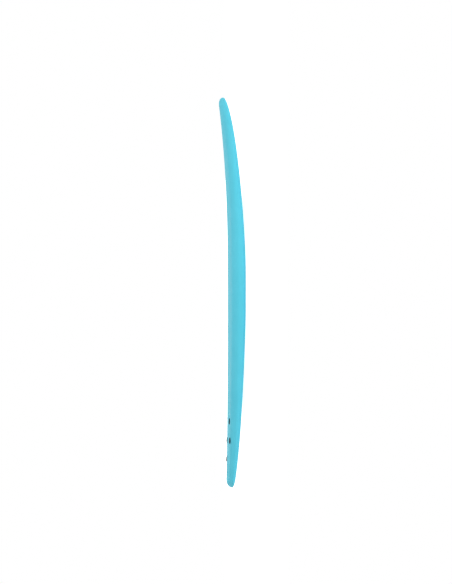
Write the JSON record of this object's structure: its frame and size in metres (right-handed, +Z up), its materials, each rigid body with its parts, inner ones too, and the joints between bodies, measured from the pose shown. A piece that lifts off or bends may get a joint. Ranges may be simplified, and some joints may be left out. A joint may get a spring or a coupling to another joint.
{
  "type": "surfboard",
  "caption": "Soft-top surfboard with a squash tail, foam deck and rails over a stringered foam core, slick bottom, bolt-through fin screws and a leash plug; fins off.",
  "frame": {"origin": "mid-length and mid-width, on the flat of the bottom that the board rests on", "axes": "+Y to the nose, +X to the starboard rail, +Z up out of the deck"},
  "size_m": [0.545, 1.829, 0.1182],
  "materials": {
    "foam_skin": "matte",
    "slick_skin": "satin",
    "polystyrene": "matte",
    "plywood": "matte",
    "backing_foam": "matte",
    "nylon": "satin",
    "rubber": "matte",
    "steel": "satin"
  },
  "bodies": {
    "board": {"core_port": "polystyrene", "core_middle": "polystyrene", "core_starboard": "polystyrene", "stringer_port": "plywood", "stringer_starboard": "plywood", "bottom_foam": "backing_foam", "bottom_skin": "slick_skin", "deck_skin": "foam_skin", "rail_skin_port": "foam_skin", "rail_skin_starboard": "foam_skin", "leash_cup": "nylon", "leash_pin": "steel", "leash_screw": "nylon", "fin_sleeve_port_front": "nylon", "fin_nut_port_front": "nylon", "fin_sleeve_port_rear": "nylon", "fin_nut_port_rear": "nylon", "fin_sleeve_starboard_front": "nylon", "fin_nut_starboard_front": "nylon", "fin_sleeve_starboard_rear": "nylon", "fin_nut_starboard_rear": "nylon", "fin_sleeve_centre_front": "nylon", "fin_nut_centre_front": "nylon", "fin_sleeve_centre_rear": "nylon", "fin_nut_centre_rear": "nylon"},
    "fin_washer_port_front": {"fin_washer_port_front": "rubber"},
    "fin_screw_port_front": {"fin_screw_port_front": "nylon"},
    "fin_washer_port_rear": {"fin_washer_port_rear": "rubber"},
    "fin_screw_port_rear": {"fin_screw_port_rear": "nylon"},
    "fin_washer_starboard_front": {"fin_washer_starboard_front": "rubber"},
    "fin_screw_starboard_front": {"fin_screw_starboard_front": "nylon"},
    "fin_washer_starboard_rear": {"fin_washer_starboard_rear": "rubber"},
    "fin_screw_starboard_rear": {"fin_screw_starboard_rear": "nylon"},
    "fin_washer_centre_front": {"fin_washer_centre_front": "rubber"},
    "fin_screw_centre_front": {"fin_screw_centre_front": "nylon"},
    "fin_washer_centre_rear": {"fin_washer_centre_rear": "rubber"},
    "fin_screw_centre_rear": {"fin_screw_centre_rear": "nylon"}
  },
  "joints": [
    {"name": "fin_washer_lift_port_front", "type": "slide", "parent": "board", "child": "fin_washer_port_front", "axis": [0, 0.0593, 0.9982], "range_m": [0, 0.0075]},
    {"name": "fin_screw_turn_port_front", "type": "hinge", "parent": "fin_washer_port_front", "child": "fin_screw_port_front", "pos_m": [-0.125, -0.59585, 0.07214], "axis": [0, 0.0593, 0.9982], "range_deg": [0, 2160]},
    {"name": "fin_washer_lift_port_rear", "type": "slide", "parent": "board", "child": "fin_washer_port_rear", "axis": [0, 0.0732, 0.9973], "range_m": [0, 0.0075]},
    {"name": "fin_screw_turn_port_rear", "type": "hinge", "parent": "fin_washer_port_rear", "child": "fin_screw_port_rear", "pos_m": [-0.131, -0.68463, 0.07099], "axis": [0, 0.0732, 0.9973], "range_deg": [0, 2160]},
    {"name": "fin_washer_lift_starboard_front", "type": "slide", "parent": "board", "child": "fin_washer_starboard_front", "axis": [0, 0.0593, 0.9982], "range_m": [0, 0.0075]},
    {"name": "fin_screw_turn_starboard_front", "type": "hinge", "parent": "fin_washer_starboard_front", "child": "fin_screw_starboard_front", "pos_m": [0.125, -0.59585, 0.07214], "axis": [0, 0.0593, 0.9982], "range_deg": [0, 2160]},
    {"name": "fin_washer_lift_starboard_rear", "type": "slide", "parent": "board", "child": "fin_washer_starboard_rear", "axis": [0, 0.0732, 0.9973], "range_m": [0, 0.0075]},
    {"name": "fin_screw_turn_starboard_rear", "type": "hinge", "parent": "fin_washer_starboard_rear", "child": "fin_screw_starboard_rear", "pos_m": [0.131, -0.68463, 0.07099], "axis": [0, 0.0732, 0.9973], "range_deg": [0, 2160]},
    {"name": "fin_washer_lift_centre_front", "type": "slide", "parent": "board", "child": "fin_washer_centre_front", "axis": [0, 0.0745, 0.9972], "range_m": [0, 0.0075]},
    {"name": "fin_screw_turn_centre_front", "type": "hinge", "parent": "fin_washer_centre_front", "child": "fin_screw_centre_front", "pos_m": [0, -0.691, 0.07912], "axis": [0, 0.0745, 0.9972], "range_deg": [0, 2160]},
    {"name": "fin_washer_lift_centre_rear", "type": "slide", "parent": "board", "child": "fin_washer_centre_rear", "axis": [0, 0.0948, 0.9955], "range_m": [0, 0.0075]},
    {"name": "fin_screw_turn_centre_rear", "type": "hinge", "parent": "fin_washer_centre_rear", "child": "fin_screw_centre_rear", "pos_m": [0, -0.77947, 0.0806], "axis": [0, 0.0948, 0.9955], "range_deg": [0, 2160]}
  ],
  "couplings": [
    {"joint": "fin_screw_turn_port_front", "follows": "fin_washer_lift_port_front", "rad_per_m": 5026.5},
    {"joint": "fin_screw_turn_port_rear", "follows": "fin_washer_lift_port_rear", "rad_per_m": 5026.5},
    {"joint": "fin_screw_turn_starboard_front", "follows": "fin_washer_lift_starboard_front", "rad_per_m": 5026.5},
    {"joint": "fin_screw_turn_starboard_rear", "follows": "fin_washer_lift_starboard_rear", "rad_per_m": 5026.5},
    {"joint": "fin_screw_turn_centre_front", "follows": "fin_washer_lift_centre_front", "rad_per_m": 5026.5},
    {"joint": "fin_screw_turn_centre_rear", "follows": "fin_washer_lift_centre_rear", "rad_per_m": 5026.5}
  ]
}
